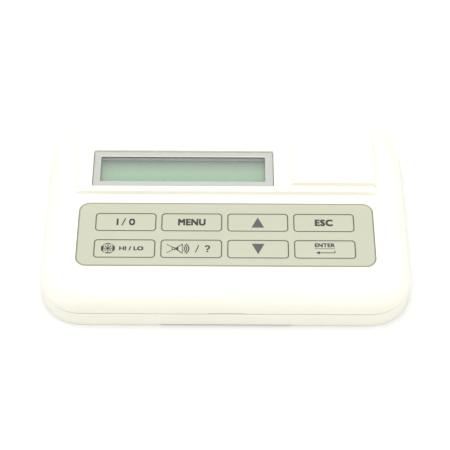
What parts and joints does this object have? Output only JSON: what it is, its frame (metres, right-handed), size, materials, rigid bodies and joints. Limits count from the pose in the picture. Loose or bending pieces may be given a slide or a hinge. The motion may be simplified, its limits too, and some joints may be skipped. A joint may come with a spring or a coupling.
{
  "type": "wall alarm keypad panel",
  "caption": "Wall keypad panel in a rounded landscape case: character display in a raised block, membrane keys in two rows, snap-fit back with keyhole slots.",
  "frame": {"origin": "middle of the back, on the wall face", "axes": "+X to the panel's right, +Y to its top edge, +Z out of its front; it lies on its back"},
  "size_m": [0.1426, 0.0926, 0.0225],
  "materials": {
    "case_plastic": "moulded, fine satin texture, cream white",
    "overlay_film": "fine-textured printed polyester film, beige green",
    "frame_plastic": "satin silver-grey paint on plastic",
    "lens_plastic": "clear polished acrylic",
    "display_glass": "green reflective liquid-crystal glass with a satin polariser",
    "light_guide": "milky diffuser",
    "elastomer": "banded grey silicone",
    "circuit_board": "green solder mask on glass-epoxy",
    "spacer_film": "milky polyester",
    "circuit_film": "amber polyimide with printed tracks",
    "dome_steel": "pressed spring steel",
    "sheet_steel": "plated steel sheet",
    "screw_steel": "zinc-plated",
    "chip_plastic": "black moulded epoxy",
    "connector_plastic": "natural nylon",
    "terminal_plastic": "green nylon",
    "capacitor_can": "drawn can",
    "trimmer_plastic": "blue moulded",
    "rotor_plastic": "white moulded"
  },
  "bodies": {
    "panel": {"front_cover": "case_plastic", "rear_cover": "case_plastic", "window_frame": "frame_plastic", "window_lens": "lens_plastic", "keypad_overlay": "overlay_film", "keypad_spacer": "spacer_film", "keypad_circuit": "circuit_film", "keypad_connector": "connector_plastic", "lcd_board": "circuit_board", "lcd_frame": "sheet_steel", "lcd_glass": "display_glass", "lcd_backlight": "light_guide", "elastomer_strip_front": "elastomer", "elastomer_strip_rear": "elastomer", "lcd_connector": "connector_plastic", "main_board": "circuit_board", "microcontroller": "chip_plastic", "voltage_regulator": "chip_plastic", "crystal": "sheet_steel", "capacitor": "capacitor_can", "buzzer": "chip_plastic", "terminal_block": "terminal_plastic", "contrast_trimmer": "trimmer_plastic", "snap_dome_1": "dome_steel", "snap_dome_2": "dome_steel", "snap_dome_3": "dome_steel", "snap_dome_4": "dome_steel", "snap_dome_5": "dome_steel", "snap_dome_6": "dome_steel", "snap_dome_7": "dome_steel", "snap_dome_8": "dome_steel", "lcd_screw_1": "screw_steel", "board_screw_1": "screw_steel", "terminal_screw_1": "screw_steel", "lcd_screw_2": "screw_steel", "board_screw_2": "screw_steel", "terminal_screw_2": "screw_steel", "lcd_screw_3": "screw_steel", "board_screw_3": "screw_steel", "terminal_screw_3": "screw_steel", "lcd_screw_4": "screw_steel", "board_screw_4": "screw_steel", "terminal_screw_4": "screw_steel"},
    "key_on_off": {"key_on_off": "overlay_film"},
    "key_menu": {"key_menu": "overlay_film"},
    "key_up": {"key_up": "overlay_film"},
    "key_escape": {"key_escape": "overlay_film"},
    "key_fan_speed": {"key_fan_speed": "overlay_film"},
    "key_mute_help": {"key_mute_help": "overlay_film"},
    "key_down": {"key_down": "overlay_film"},
    "key_enter": {"key_enter": "overlay_film"},
    "trimmer_rotor": {"trimmer_rotor": "rotor_plastic"}
  },
  "joints": [
    {"name": "press_on_off", "type": "slide", "parent": "panel", "child": "key_on_off", "axis": [0, 0, -1], "range_m": [0, 0.0004], "stiffness_N_per_m": 5000, "deforming": ["snap_dome_1"]},
    {"name": "press_menu", "type": "slide", "parent": "panel", "child": "key_menu", "axis": [0, 0, -1], "range_m": [0, 0.0004], "stiffness_N_per_m": 5000, "deforming": ["snap_dome_2"]},
    {"name": "press_up", "type": "slide", "parent": "panel", "child": "key_up", "axis": [0, 0, -1], "range_m": [0, 0.0004], "stiffness_N_per_m": 5000, "deforming": ["snap_dome_3"]},
    {"name": "press_escape", "type": "slide", "parent": "panel", "child": "key_escape", "axis": [0, 0, -1], "range_m": [0, 0.0004], "stiffness_N_per_m": 5000, "deforming": ["snap_dome_4"]},
    {"name": "press_fan_speed", "type": "slide", "parent": "panel", "child": "key_fan_speed", "axis": [0, 0, -1], "range_m": [0, 0.0004], "stiffness_N_per_m": 5000, "deforming": ["snap_dome_5"]},
    {"name": "press_mute_help", "type": "slide", "parent": "panel", "child": "key_mute_help", "axis": [0, 0, -1], "range_m": [0, 0.0004], "stiffness_N_per_m": 5000, "deforming": ["snap_dome_6"]},
    {"name": "press_down", "type": "slide", "parent": "panel", "child": "key_down", "axis": [0, 0, -1], "range_m": [0, 0.0004], "stiffness_N_per_m": 5000, "deforming": ["snap_dome_7"]},
    {"name": "press_enter", "type": "slide", "parent": "panel", "child": "key_enter", "axis": [0, 0, -1], "range_m": [0, 0.0004], "stiffness_N_per_m": 5000, "deforming": ["snap_dome_8"]},
    {"name": "turn_contrast_trimmer", "type": "hinge", "parent": "panel", "child": "trimmer_rotor", "pos_m": [0.048, -0.009, 0.0085], "axis": [0, 0, 1], "range_deg": [-130, 130]}
  ]
}
